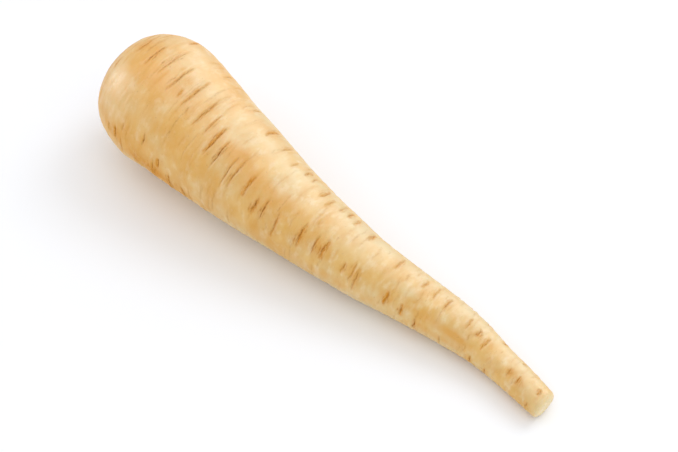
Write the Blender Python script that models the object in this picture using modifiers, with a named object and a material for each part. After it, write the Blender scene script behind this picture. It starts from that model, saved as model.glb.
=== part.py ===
"""A parsnip as sold: one tapering taproot with its thin end cut off, lying on its side, and the brown stump
of the leaf stalks that were trimmed from the hollow of its crown.

Both are built upright about Z, crown up, and then laid along +X with the crown at -X. Metres, +Z up; the
origin is on the floor under the middle of the bounding box.
"""

import math
import random

import bmesh
import bpy
import numpy as np
from mathutils import Matrix, Vector

MM = 0.001

# The root. "Along" is the distance from the crest of the crown towards the tip, on the root's own axis.
ROOT_LENGTH = 231 * MM
CROWN_RING = 11 * MM  # radius of the crest, where the shoulder turns down into the hollow
SHOULDER_LENGTH = 25 * MM
SHOULDER_RADIUS = 28 * MM
HOLLOW_RADIUS = 9.4 * MM
HOLLOW_DEPTH = 5 * MM
HOLLOW_ROUND = 1.2 * MM
TIP_RADIUS = 5.9 * MM
TIP_EDGE = 1.8 * MM  # how far the edge of the cut is rounded

# Half-width of the flank, and how far the axis sways to +Y, as (along, value) in millimetres.
FLANK = [(25, 28), (29, 27.8), (40, 26.4), (55, 24.3), (75, 21.8), (100, 18), (130, 14.4), (160, 11.3),
         (185, 9.3), (194, 8.2), (202, 7.25), (218, 6.55), (231, 5.9)]
SWAY = [(0, 0.5), (25, 0), (50, -1.4), (85, -2.9), (115, -2.7), (137, -1.8), (165, 1.7), (193, 3.8),
        (212, 2.2), (231, -0.75)]

# How it lies: its underside runs along the floor, a little arched between the belly and the tail.
ARCH = 1.4 * MM
ARCH_FROM = 40 * MM
ARCH_TO = 212 * MM
CROWN_LIFT = 0.12  # rise of the axis towards the crown, per length
PRESSED = 0.6 * MM  # the belly and the tail are flat by this much where they touch

# The knife's cut across the tip: its longest side, from -Y over the top, and how far it leans.
CUT_HEADING = math.radians(58)
CUT_SLANT = math.tan(math.radians(8))
CUT_REACH = 12 * MM

# Lobes that keep the root from being round: (share of the radius, lobes round it, turn in rad/m, phase).
LOBES = [(0.010, 2, 14, 3.6), (0.008, 3, -22, 1.4), (0.005, 5, 38, 2.4)]

# Side-root scars: short grooves with raised lips, across the root, in four ranks that wind slowly round it.
# A scar is (along in millimetres, its angle in degrees from -Y over the top, degrees that it reaches to
# either side). Two ranks have theirs by hand; in the two beneath they are drawn.
TOP_SCARS = [(10, 92, 9), (18, 88, 12), (27, 94, 16), (34, 86, 15), (43, 86, 16), (52, 80, 16), (58, 77, 14),
             (64, 66, 16), (69, 58, 15), (76, 50, 17), (79, 52, 17), (86, 52, 13), (92, 37, 10), (96, 40, 13),
             (103, 30, 18), (114, 41, 17), (121, 41, 15), (125, 44, 15), (135, 37, 9), (139, 38, 18),
             (141, 28, 22), (155, 27, 15), (162, 20, 14), (169, 1, 15), (181, -6, 14), (196, -6, 16),
             (204, -12, 16), (226, 8, 16)]
FAR_SCARS = [(22, 130, 8), (34, 133, 7), (42, 132, 7), (62, 134, 8), (75, 125, 12), (84, 126, 10),
             (92, 116, 8), (98, 125, 9), (102, 124, 7), (110, 119, 13), (114, 110, 12), (119, 123, 12),
             (123, 124, 10), (127, 120, 10), (136, 117, 12), (152, 107, 18), (165, 100, 13), (171, 96, 20),
             (177, 90, 18), (188, 85, 17), (193, 82, 12), (198, 73, 20), (213, 58, 14), (218, 59, 16),
             (227, 85, 13)]
DRAWN_RANKS = [(FAR_SCARS, 70), (TOP_SCARS, -100)]  # the rank that each runs beside, and degrees from it
DRAWN_STEP = (4, 12)  # millimetres between two scars
DRAWN_REACH = (8, 19)
SCAR_DEPTH = 0.7 * MM
SCAR_WIDTH = 1.4 * MM
SCAR_LIP = 0.3  # the lips' height as a share of the depth
SCAR_SEED = 7

# The stump of the leaf stalks: its turned outline as (out, height over its foot) in millimetres, corky ring
# over corky ring, and the cut stalks packed on it in the spiral in which leaves grow.
STUMP_GAP = 0.3 * MM
STUMP_OUTLINE = [(0, 6.3), (4.6, 6.5), (5.7, 6.1), (6.3, 5.2), (6.2, 4.8), (7.1, 4.1), (7.3, 3.3), (7.1, 2.9),
                 (7.9, 2.2), (8.1, 1.4), (7.8, 0.6), (7.4, 0), (0, 0)]
STUMP_LOBES = [(0.035, 5, 0.7), (0.025, 8, 2.2)]  # share of the radius, lobes round it, phase
STUMP_SIDES = 30
STALK_COUNT = 9
STALK_SIDES = 9
STALK_RADIUS = 1.55 * MM
STALK_SPREAD = 3.9 * MM
STALK_ROOT = 4.5 * MM  # how far over the stump's foot a stalk starts, inside the stump
STALK_TOP = (8.0 * MM, 6.9 * MM)  # how far over it the middle and the outer stalks are cut
STALK_LEAN = math.radians(11)
GOLDEN_ANGLE = math.radians(137.5)

SIDES = 40
RING_STEP = 2.05 * MM

SKIN_COLOUR = (0.80, 0.56, 0.27, 1)
STALK_COLOUR = (0.23, 0.12, 0.055, 1)


def eased(at, knots):
    """A smooth curve through the knots, read at each value of an array: cubic pieces with shared slopes."""
    xs, ys = np.array(knots, float).T * MM
    slopes = np.gradient(ys, xs)
    i = np.clip(np.searchsorted(xs, at) - 1, 0, len(xs) - 2)
    step = xs[i + 1] - xs[i]
    t = np.clip((at - xs[i]) / step, 0, 1)
    rise = ys[i + 1] - ys[i]
    start, end = slopes[i] * step, slopes[i + 1] * step
    return ys[i] + t * start + t * t * (3 * rise - 2 * start - end) + t**3 * (start + end - 2 * rise)


def quarter(middle, reach, start, steps):
    """Points (along, out) on a quarter of an ellipse, from start in degrees, where 0 is towards the crown."""
    turn = np.radians(np.linspace(start, start + 90, steps + 1))
    return [(middle[0] - reach[0] * math.cos(a), middle[1] + reach[1] * math.sin(a)) for a in turn]


def root_outline():
    """Half the root's section as (along, out): hollow, crest, shoulder, flank, cut tip."""
    floor = [(HOLLOW_DEPTH, 0), (HOLLOW_DEPTH, 0.5 * HOLLOW_RADIUS)]
    corner = [(HOLLOW_DEPTH, HOLLOW_RADIUS - HOLLOW_ROUND), (HOLLOW_DEPTH - HOLLOW_ROUND, HOLLOW_RADIUS)]
    lip = CROWN_RING - HOLLOW_RADIUS
    crest = quarter((lip, CROWN_RING), (lip, lip), -90, 3)
    shoulder_reach = (SHOULDER_LENGTH, SHOULDER_RADIUS - CROWN_RING)
    shoulder = quarter((SHOULDER_LENGTH, CROWN_RING), shoulder_reach, 0, 14)[1:]
    rings = round((ROOT_LENGTH - TIP_EDGE - SHOULDER_LENGTH) / RING_STEP)
    along = np.linspace(SHOULDER_LENGTH, ROOT_LENGTH - TIP_EDGE, rings + 1)[1:]
    flank = list(zip(along, eased(along, FLANK)))
    edge = quarter((ROOT_LENGTH - TIP_EDGE, TIP_RADIUS - TIP_EDGE), (TIP_EDGE, TIP_EDGE), 90, 3)[1:]
    face = [(ROOT_LENGTH, 0.5 * (TIP_RADIUS - TIP_EDGE)), (ROOT_LENGTH, 0)]
    return floor + corner + crest + shoulder + flank + edge + face


def axis_at(along):
    """The axis's place at each distance along it, as the root lies: (n, 3)."""
    belly = SHOULDER_LENGTH
    height = eased(np.maximum(along, belly), FLANK) + CROWN_LIFT * np.maximum(belly - along, 0)
    part = np.clip((along - ARCH_FROM) / (ARCH_TO - ARCH_FROM), 0, 1)
    return np.stack([along, eased(along, SWAY), height + ARCH * np.sin(math.pi * part) ** 2], axis=1)


def section_axes(along):
    """For each distance along: the directions that stand square to the axis, level towards -Y, and up."""
    reach = 4 * MM
    ahead = axis_at(along + reach) - axis_at(along - reach)
    ahead /= np.linalg.norm(ahead, axis=1, keepdims=True)
    side = np.cross(ahead, [0, 0, 1])
    side /= np.linalg.norm(side, axis=1, keepdims=True)
    return side, np.cross(side, ahead)


def drawn_scars(chance, guide, beside):
    """One rank's scars, as in the lists by hand, that run beside the guide rank at an angle from it."""
    places, headings, _ = np.array(guide, float).T
    along = chance.uniform(18, 30)
    rank = []
    while along < ROOT_LENGTH / MM - 10:
        rank.append((along, np.interp(along, places, headings) + beside, chance.uniform(*DRAWN_REACH)))
        along += chance.uniform(*DRAWN_STEP)
    return rank


def scars():
    """Every scar as (along, angle, reach round the root), in metres and radians."""
    chance = random.Random(SCAR_SEED)
    found = TOP_SCARS + FAR_SCARS
    for guide, beside in DRAWN_RANKS:
        found = found + drawn_scars(chance, guide, beside)
    return [(at * MM, math.radians(heading), math.radians(reach)) for at, heading, reach in found]


def relief(along, angle, radius):
    """How far the skin stands out of, or is sunk in, the plain turned shape at each point."""
    out = np.zeros_like(along)
    for share, lobes, turn, phase in LOBES:
        out += share * radius * np.sin(lobes * angle + turn * along + phase)
    for at, heading, reach in scars():
        across = (along - at) / SCAR_WIDTH
        round_it = (np.remainder(angle - heading + math.pi, 2 * math.pi) - math.pi) / reach
        groove = np.exp(-across * across) - SCAR_LIP * np.exp(-((np.abs(across) - 2) ** 2))
        out -= SCAR_DEPTH * groove * np.clip(1.3 - round_it * round_it, 0, 1)
    return out


def laid_down(points):
    """Points of the upright root, crown up and crest at the origin, moved to where they are as it lies."""
    along, radius = -points[:, 2], np.hypot(points[:, 0], points[:, 1])
    angle = np.arctan2(points[:, 1], points[:, 0])
    on_skin = np.clip((radius - HOLLOW_RADIUS) / (2 * MM), 0, 1)
    on_skin = np.where(along > ROOT_LENGTH / 2, np.clip(radius / TIP_RADIUS, 0, 1), on_skin)
    radius = radius + on_skin * relief(along, angle, radius)
    near_tip = np.clip(1 - (ROOT_LENGTH - along) / CUT_REACH, 0, 1)
    along = along + near_tip * radius * np.cos(angle - CUT_HEADING) * CUT_SLANT
    side, up = section_axes(along)
    return axis_at(along) + (radius * np.cos(angle))[:, None] * side + (radius * np.sin(angle))[:, None] * up


def points_of(mesh):
    points = np.empty(len(mesh.vertices) * 3)
    mesh.vertices.foreach_get("co", points)
    return points.reshape(-1, 3)


def set_points(mesh, points):
    mesh.vertices.foreach_set("co", np.ascontiguousarray(points, np.float32).ravel())
    mesh.update()


def material(name, colour, roughness):
    made = bpy.data.materials.new(name)
    made.use_nodes = True
    shader = made.node_tree.nodes["Principled BSDF"]
    shader.inputs["Base Color"].default_value = colour
    shader.inputs["Roughness"].default_value = roughness
    shader.inputs["Metallic"].default_value = 0
    made.diffuse_color = colour
    return made


def apply_modifiers(obj):
    """Gives the object the mesh that its modifiers make, with its coinciding points made one."""
    graph = bpy.context.evaluated_depsgraph_get()
    mesh = bpy.data.meshes.new_from_object(obj.evaluated_get(graph))
    shape = bmesh.new()
    shape.from_mesh(mesh)
    bmesh.ops.remove_doubles(shape, verts=shape.verts, dist=0.01 * MM)
    shape.to_mesh(mesh)
    shape.free()
    obj.modifiers.clear()
    obj.data = mesh
    mesh.name = obj.name


def turned(name, outline, sides, collection):
    """A solid turned about Z: outline is (out, height), down the outer side, from the axis to the axis."""
    profile = bpy.data.meshes.new(name + "_outline")
    edges = [(i, i + 1) for i in range(len(outline) - 1)]
    profile.from_pydata([(out, 0, height) for out, height in outline], edges, [])
    made = bpy.data.objects.new(name, profile)
    collection.objects.link(made)
    turn = made.modifiers.new("turn", "SCREW")
    turn.steps = turn.render_steps = sides
    turn.use_merge_vertices = True
    turn.merge_threshold = 0.01 * MM
    apply_modifiers(made)
    bpy.data.meshes.remove(profile)
    return made


def finish(obj, skin):
    obj.data.shade_smooth()
    obj.data.set_sharp_from_angle(angle=math.radians(50))
    obj.data.materials.append(skin)


def make_root(collection):
    """The taproot: its outline turned about Z, given its lobes and scars, and laid down."""
    outline = [(out, -along) for along, out in root_outline()]
    root = turned("root", outline, SIDES, collection)
    set_points(root.data, laid_down(points_of(root.data)))
    finish(root, material("parsnip_skin", SKIN_COLOUR, 0.5))
    return root


def add_stalk(collection, index):
    """One cut leaf stalk: a tapered prism that starts inside the stump and leans outwards."""
    share = math.sqrt(index / (STALK_COUNT - 1))
    heading = index * GOLDEN_ANGLE
    height = (1 - share) * STALK_TOP[0] + share * STALK_TOP[1] - STALK_ROOT
    bpy.ops.mesh.primitive_cone_add(vertices=STALK_SIDES, radius1=STALK_RADIUS, radius2=0.85 * STALK_RADIUS,
                                    depth=height)
    stalk = bpy.context.object
    out = STALK_SPREAD * share
    place = Vector((out * math.cos(heading), out * math.sin(heading), STALK_ROOT))
    turn = Matrix.Rotation(heading, 4, "Z") @ Matrix.Rotation(STALK_LEAN * share, 4, "Y")
    stalk.data.transform(Matrix.Translation(place) @ turn @ Matrix.Translation((0, 0, height / 2)))
    stalk.location = (0, 0, 0)
    for owner in list(stalk.users_collection):
        owner.objects.unlink(stalk)
    collection.objects.link(stalk)


def make_leaf_bases(collection):
    """The trimmed leaf stalks: a turned stump of corky rings, made uneven, and the cut stalks joined to it."""
    outline = [(out * MM, height * MM) for out, height in STUMP_OUTLINE]
    stump = turned("leaf_bases", outline, STUMP_SIDES, collection)
    points = points_of(stump.data)
    angle = np.arctan2(points[:, 1], points[:, 0])
    for share, lobes, phase in STUMP_LOBES:
        points[:, :2] *= (1 + share * np.sin(lobes * angle + phase))[:, None]
    set_points(stump.data, points)

    stalks = bpy.data.collections.new("stalks")
    bpy.context.scene.collection.children.link(stalks)
    for index in range(STALK_COUNT):
        add_stalk(stalks, index)
    join = stump.modifiers.new("join", "BOOLEAN")
    join.operation = "UNION"
    join.operand_type = "COLLECTION"
    join.collection = stalks
    join.solver = "EXACT"
    apply_modifiers(stump)
    for stalk in list(stalks.objects):
        bpy.data.objects.remove(stalk)
    bpy.data.collections.remove(stalks)
    stand_in_crown(stump)
    finish(stump, material("leaf_stalk", STALK_COLOUR, 0.8))
    return stump


def stand_in_crown(obj):
    """Moves a piece built upright, its foot at the origin, onto the hollow's floor as the root lies."""
    foot = np.array([HOLLOW_DEPTH - STUMP_GAP])
    side, up = (Vector(v[0]) for v in section_axes(foot))
    turn = Matrix((side, up, side.cross(up))).transposed().to_4x4()
    obj.data.transform(Matrix.Translation(Vector(axis_at(foot)[0])) @ turn)


def set_on_floor(pieces):
    """Lowers the pieces to the floor, pressed a little flat where they touch, and centres them."""
    clouds = [points_of(piece.data) for piece in pieces]
    every = np.concatenate(clouds)
    low, high = every.min(axis=0), every.max(axis=0)
    shift = np.array([-(low[0] + high[0]) / 2, -(low[1] + high[1]) / 2, -low[2] - PRESSED])
    for piece, points in zip(pieces, clouds):
        points = points + shift
        points[:, 2] = np.maximum(points[:, 2], 0)
        set_points(piece.data, points)


def main():
    for obj in list(bpy.data.objects):
        bpy.data.objects.remove(obj)
    parsnip = bpy.data.collections.new("parsnip")
    bpy.context.scene.collection.children.link(parsnip)
    set_on_floor([make_root(parsnip), make_leaf_bases(parsnip)])


main()
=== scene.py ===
# %% [markdown]
# # A parsnip, from a plain solid to a finished root
#
# The solids of this root and of the stump in its crown are already made, to size and lying on the floor.
# This lesson dresses them: it works the skin out again as one fine surface with its scars and creases, does
# the same for the corky stump, gives both their materials, and sets up a small studio. Every length is in
# metres.
#
# The first lines load the solids. Their box is kept, because nothing that is added may stand outside it.

# %% Load the solids
import math
import random

import bpy
import numpy as np
from mathutils import Matrix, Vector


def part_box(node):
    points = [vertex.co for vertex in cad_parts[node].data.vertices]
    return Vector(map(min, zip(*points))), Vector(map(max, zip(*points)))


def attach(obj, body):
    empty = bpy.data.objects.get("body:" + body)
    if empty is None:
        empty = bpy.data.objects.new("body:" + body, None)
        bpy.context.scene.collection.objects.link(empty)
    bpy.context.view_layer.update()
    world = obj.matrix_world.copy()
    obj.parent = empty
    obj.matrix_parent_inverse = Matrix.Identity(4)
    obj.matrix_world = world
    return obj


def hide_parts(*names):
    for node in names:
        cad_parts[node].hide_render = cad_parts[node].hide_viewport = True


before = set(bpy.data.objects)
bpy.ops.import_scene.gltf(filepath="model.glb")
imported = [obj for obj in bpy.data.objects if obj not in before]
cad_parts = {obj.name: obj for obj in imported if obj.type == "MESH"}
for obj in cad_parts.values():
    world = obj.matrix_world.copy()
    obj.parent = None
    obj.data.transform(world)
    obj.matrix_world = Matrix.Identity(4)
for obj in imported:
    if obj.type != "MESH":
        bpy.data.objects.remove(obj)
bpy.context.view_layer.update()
MM = 0.001

# %% [markdown]
# ## The plan of the root
#
# A root is turned, in a loose way: it grows outwards evenly from a line. So its skin is a function of two
# parameters, how far along that line and at what angle round it. "Along" runs from the crest of the crown,
# which is the ring where the shoulder turns down into the hollow, to the cut tip. The line itself sways
# sideways, and it keeps its distance from the floor, because the root lies on its underside. These values
# are those of the solid, so that the fine skin lies where the solid does.

# %% The root's sizes
ROOT_LENGTH = 231 * MM  # from the crest of the crown to the cut face
CROWN_RING = 11 * MM  # radius of the crest
SHOULDER_LENGTH = 25 * MM
SHOULDER_RADIUS = 28 * MM
HOLLOW_RADIUS = 9.4 * MM
HOLLOW_DEPTH = 5 * MM
HOLLOW_ROUND = 1.2 * MM  # of the corner between its wall and its floor
TIP_RADIUS = 5.9 * MM
TIP_EDGE = 1.8 * MM  # rounding of the cut's edge, which shrinks as it dries
ARCH, ARCH_FROM, ARCH_TO = 1.4 * MM, 40 * MM, 212 * MM  # how far the middle stands off the floor, and where
CROWN_LIFT = 0.12  # slope of the line up towards the crown
PRESSED = 0.6 * MM  # how much the floor flattens the underside
CUT_HEADING = math.radians(58)  # the side that the slanted cut leaves longest
CUT_SLANT = math.tan(math.radians(8))
CUT_REACH = 12 * MM  # how far up the tail the slant is felt

# Half-width of the flank, and how far the line sways to +Y, as (along, value) in millimetres.
FLANK = [(25, 28), (29, 27.8), (40, 26.4), (55, 24.3), (75, 21.8), (100, 18), (130, 14.4), (160, 11.3),
         (185, 9.3), (194, 8.2), (202, 7.25), (218, 6.55), (231, 5.9)]
SWAY = [(0, 0.5), (25, 0), (50, -1.4), (85, -2.9), (115, -2.7), (137, -1.8), (165, 1.7), (193, 3.8),
        (212, 2.2), (231, -0.75)]
# What keeps it from being round: (share of the radius, lobes round it, turn in rad/m, phase).
LOBES = [(0.010, 2, 14, 3.6), (0.008, 3, -22, 1.4), (0.005, 5, 38, 2.4)]
print("the root goes from", 2 * SHOULDER_RADIUS / MM, "mm across to", 2 * TIP_RADIUS / MM, "mm")

# %% [markdown]
# ## Curves
#
# The widths and the sway are known at a few places only, and straight lines between these would show as
# kinks in the shine. So they are joined by cubic pieces that share a slope where they meet. A ring of the
# root has to stand square to its line, so two directions are worked out at each place, both square to the
# line's own slope.


# %% Curves and sections of the root
def eased(at, knots):
    """A smooth curve through (millimetre, value) knots: cubic pieces that share a slope where they meet."""
    xs, ys = np.array(knots, float).T * MM
    slopes = np.gradient(ys, xs)
    i = np.clip(np.searchsorted(xs, at) - 1, 0, len(xs) - 2)
    step = xs[i + 1] - xs[i]
    t = np.clip((at - xs[i]) / step, 0, 1)
    rise = ys[i + 1] - ys[i]
    start, end = slopes[i] * step, slopes[i + 1] * step
    return ys[i] + t * start + t * t * (3 * rise - 2 * start - end) + t**3 * (start + end - 2 * rise)


def line_at(along):
    """The middle line: as high over the floor as the flank is wide, lifted by a low arch, a sine squared,
    between the belly and the tail, and by a straight slope to the crown; sideways it is the sway."""
    height = eased(np.maximum(along, SHOULDER_LENGTH), FLANK)
    height = height + CROWN_LIFT * np.maximum(SHOULDER_LENGTH - along, 0)
    part = np.clip((along - ARCH_FROM) / (ARCH_TO - ARCH_FROM), 0, 1)
    return np.stack([along, eased(along, SWAY), height + ARCH * np.sin(math.pi * part) ** 2], axis=-1)


def section_axes(along):
    """The two directions square to the line, from its slope over 8 mm: level towards -Y, and up."""
    reach = 4 * MM
    ahead = line_at(along + reach) - line_at(along - reach)
    ahead /= np.linalg.norm(ahead, axis=-1, keepdims=True)
    level = np.cross(ahead, [0.0, 0.0, 1.0])
    level /= np.linalg.norm(level, axis=-1, keepdims=True)
    return level, np.cross(level, ahead)


def arc(middle, reach, start, end, steps):
    """Points (along, out) on an ellipse's arc. Its angle is in degrees, 0 towards the crown, 90 outwards."""
    turn = np.radians(np.linspace(start, end, steps + 1))
    return np.stack([middle[0] - reach[0] * np.cos(turn), middle[1] + reach[1] * np.sin(turn)], axis=1)


half_way = line_at(np.array(ROOT_LENGTH / 2))
print("half-way along, the line is", round(float(half_way[2] / MM), 1), "mm over the floor")

# %% [markdown]
# ## One section of the root
#
# Half of a lengthwise cut gives the outline to turn: the floor and wall of the hollow, the crest, the
# shoulder as a quarter of an ellipse, the flank from its widths, the softened edge of the cut and the cut
# face. The creases run across the root, so the rows along it are close, 0.3 mm apart, and the columns round
# it can be wider. Near the crown a row hardly moves along the root, so the way over the skin is measured
# too, and the two agree from the shoulder's end on.

# %% The outline to turn
COLUMNS = 118
ROW_STEP = 0.30 * MM
FLAT_ROWS, WALL_ROWS, CORNER_ROWS, CREST_ROWS, SHOULDER_ROWS = 9, 6, 5, 7, 76
CUT_ROWS = 8  # of the rounded edge, over which the skin gives way to the cut

lip = CROWN_RING - HOLLOW_RADIUS
hollow_floor = np.stack([np.full(FLAT_ROWS, HOLLOW_DEPTH),
                         np.linspace(0, HOLLOW_RADIUS - HOLLOW_ROUND, FLAT_ROWS + 1)[1:]], axis=1)
hollow_corner = arc((HOLLOW_DEPTH - HOLLOW_ROUND, HOLLOW_RADIUS - HOLLOW_ROUND), (HOLLOW_ROUND, HOLLOW_ROUND),
                    180, 90, CORNER_ROWS)[1:]
hollow_wall = np.stack([np.linspace(HOLLOW_DEPTH - HOLLOW_ROUND, lip, WALL_ROWS + 1)[1:],
                        np.full(WALL_ROWS, HOLLOW_RADIUS)], axis=1)
crest = arc((lip, CROWN_RING), (lip, lip), -90, 0, CREST_ROWS)[1:]
shoulder = arc((SHOULDER_LENGTH, CROWN_RING), (SHOULDER_LENGTH, SHOULDER_RADIUS - CROWN_RING), 0, 90,
               SHOULDER_ROWS)[1:]
flank_along = np.arange(SHOULDER_LENGTH + ROW_STEP, ROOT_LENGTH - TIP_EDGE, ROW_STEP)
flank = np.stack([flank_along, eased(flank_along, FLANK)], axis=1)
tip_edge = arc((ROOT_LENGTH - TIP_EDGE, TIP_RADIUS - TIP_EDGE), (TIP_EDGE, TIP_EDGE), 90, 180, CUT_ROWS)
tip_face = np.stack([np.full(FLAT_ROWS, ROOT_LENGTH),
                     np.linspace(TIP_RADIUS - TIP_EDGE, 0, FLAT_ROWS + 2)[1:-1]], axis=1)
outline = np.concatenate([hollow_floor, hollow_corner, hollow_wall, crest, shoulder, flank, tip_edge,
                          tip_face])
along, out = outline.T

first_skin_row = len(hollow_floor) + len(hollow_corner) + len(hollow_wall)
first_shoulder_row = first_skin_row + len(crest)
# The way over the skin, which is the same as along where the shoulder ends.
over = np.concatenate([[0], np.cumsum(np.hypot(np.diff(along), np.diff(out)))])
over += SHOULDER_LENGTH - over[first_shoulder_row + len(shoulder) - 1]
first_cut_row = len(outline) - len(tip_face) - CUT_ROWS
rows = np.arange(len(outline))
skin_rows = (rows >= first_skin_row) & (rows < first_cut_row)
angles = np.arange(COLUMNS) * 2 * math.pi / COLUMNS
print(len(outline), "rows of", COLUMNS, "points, so", 2 * len(outline) * COLUMNS, "triangles")

# %% [markdown]
# ## Side-root scars
#
# A parsnip feeds through thin side roots that leave it in four ranks, which wind slowly round it. Washed and
# trimmed, each leaves a scar: a crease across the root, brown at its bottom, with a swollen lip on either
# side, a tan halo of old tissue, and often a shorter crease beside it. Some are hardly more than a line,
# others are open lenses. The two ranks on top have theirs listed one by one; the two beneath are drawn from a
# seed, beside the others.

# %% Where the scars are
# A scar is (along in millimetres, degrees from -Y over the top, degrees that it reaches to either side, how
# dark its bottom is, how strong its halo is).
TOP_SCARS = [
    (10, 92, 9, 0.35, 0.90), (18, 88, 12, 0.75, 0.75), (27, 94, 16, 0.50, 0.45), (34, 86, 15, 0.70, 0.40),
    (43, 86, 16, 0.55, 0.60), (52, 80, 16, 0.65, 0.65), (58, 77, 14, 0.50, 0.55), (64, 66, 16, 0.80, 0.85),
    (69, 58, 15, 1.00, 0.45), (76, 50, 17, 0.55, 0.40), (79, 52, 17, 0.65, 0.55), (86, 52, 13, 0.45, 0.90),
    (92, 37, 10, 0.85, 1.00), (96, 40, 13, 0.95, 0.70), (103, 30, 18, 0.45, 0.75),
    (114, 41, 17, 0.80, 0.95), (121, 41, 15, 0.65, 0.70), (125, 44, 16, 0.62, 1.00),
    (135, 37, 9, 0.45, 0.75), (139, 38, 18, 0.50, 0.50), (141, 28, 22, 0.55, 0.50),
    (155, 27, 15, 0.50, 1.00), (162, 20, 14, 0.65, 0.95), (169, 1, 15, 0.85, 0.80),
    (181, -6, 14, 0.45, 0.45), (196, -6, 16, 0.70, 0.65), (204, -12, 16, 0.90, 0.45),
    (226, 8, 16, 0.50, 0.50),
]
FAR_SCARS = [
    (22, 130, 8, 0.95, 0.75), (34, 133, 7, 0.30, 0.35), (42, 132, 7, 0.40, 0.35), (62, 134, 8, 0.30, 0.60),
    (75, 125, 12, 0.55, 0.75), (84, 126, 10, 0.60, 0.40), (92, 116, 8, 0.25, 0.55),
    (98, 125, 9, 0.70, 0.80), (102, 124, 7, 0.45, 0.45), (110, 119, 13, 0.45, 0.75),
    (114, 110, 12, 0.30, 0.65), (119, 123, 12, 0.40, 0.55), (123, 124, 10, 0.55, 0.75),
    (127, 120, 10, 0.30, 0.80), (136, 117, 12, 0.55, 0.90), (152, 107, 18, 0.35, 0.65),
    (165, 100, 13, 0.30, 0.65), (171, 96, 20, 0.25, 0.55), (177, 90, 18, 0.45, 0.60),
    (188, 85, 17, 0.30, 0.60), (193, 82, 12, 0.60, 0.70), (198, 73, 20, 0.42, 0.70),
    (213, 58, 14, 0.40, 0.65), (218, 59, 16, 0.45, 0.70), (227, 85, 13, 0.65, 0.70),
]
DRAWN_RANKS = [(FAR_SCARS, 70), (TOP_SCARS, -100)]  # the rank that each runs beside, and degrees from it
DRAWN_STEP, DRAWN_REACH = (4, 12), (8, 19)  # millimetres from one to the next, and degrees
DRAWN_START, DRAWN_END = (18, 30), 10  # millimetres from the crown, and from the cut
DRAWN_DARK, DRAWN_HALO = (0.3, 1), (0.3, 0.9)
# Small pits, in the same form, and fine old creases near the crown, without the last two numbers.
PITS = [
    (18, 3, 5, 0.60, 0.60), (23, 5, 6, 1.00, 0.80), (27, 16, 3, 0.60, 0.40), (38, 20, 5, 1.00, 0.50),
    (47, 5, 6, 0.70, 1.00), (24.5, 86, 3, 0.55, 0.50), (38.5, 76, 4, 0.15, 0.80), (46, 70, 3, 0.40, 0.40),
    (100, 20, 5, 0.20, 0.30),
]
CROWN_CREASES = [
    (7, 112, 16), (10, 104, 12), (12, 120, 10), (14, 97, 13), (6, 60, 9), (9, 150, 14), (12, 190, 15),
    (8, 240, 16), (11, 300, 14),
]


def drawn_scars(dice, guide, beside):
    """One rank's scars, that run beside the guide rank at an angle from it, as the solid draws them."""
    places, headings = np.array(guide)[:, :2].T
    place = dice.uniform(*DRAWN_START)
    rank = []
    while place < ROOT_LENGTH / MM - DRAWN_END:
        rank.append((place, np.interp(place, places, headings) + beside, dice.uniform(*DRAWN_REACH)))
        place += dice.uniform(*DRAWN_STEP)
    return rank


drawing = random.Random(7)
chance = np.random.default_rng(7)
scars = TOP_SCARS + FAR_SCARS
for guide, beside in DRAWN_RANKS:
    scars = scars + [(*scar, chance.uniform(*DRAWN_DARK), chance.uniform(*DRAWN_HALO))
                     for scar in drawn_scars(drawing, guide, beside)]
print(len(scars), "scars and", len(PITS), "pits")

# %% [markdown]
# ## From scars to skin
#
# Each crease is one small formula on the grid. Across itself it is a narrow bell, which is the groove, with
# a wider one on either side, which are the lips. Round the root it fades out as a parabola. Its line bends
# and wanders a little, because a scar heals unevenly. Distances are measured over the skin, so a crease near
# the crown is as narrow as one on the flank. The same formula that sinks the groove also paints two maps
# that the material reads: `crease`, the dark bottom, and `stain`, the tan halo of old tissue round it.
#
# Each scar is then one main crease and up to two shorter, fainter ones beside it, as they are on a root. The
# more its halo spreads, the wider open it is.

# %% Creases
skin_relief = np.zeros((len(outline), COLUMNS))
crease_map = np.zeros_like(skin_relief)
stain_and_shade_map = np.zeros_like(skin_relief)
LIP_PLACE, LIP_WIDTH, LIP_SHARE = 1.15 * MM, 0.55 * MM, 0.38
CREASE_RANGE = 5 * MM  # past which a crease changes nothing
WIDE_HALO = 3 * MM


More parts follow.
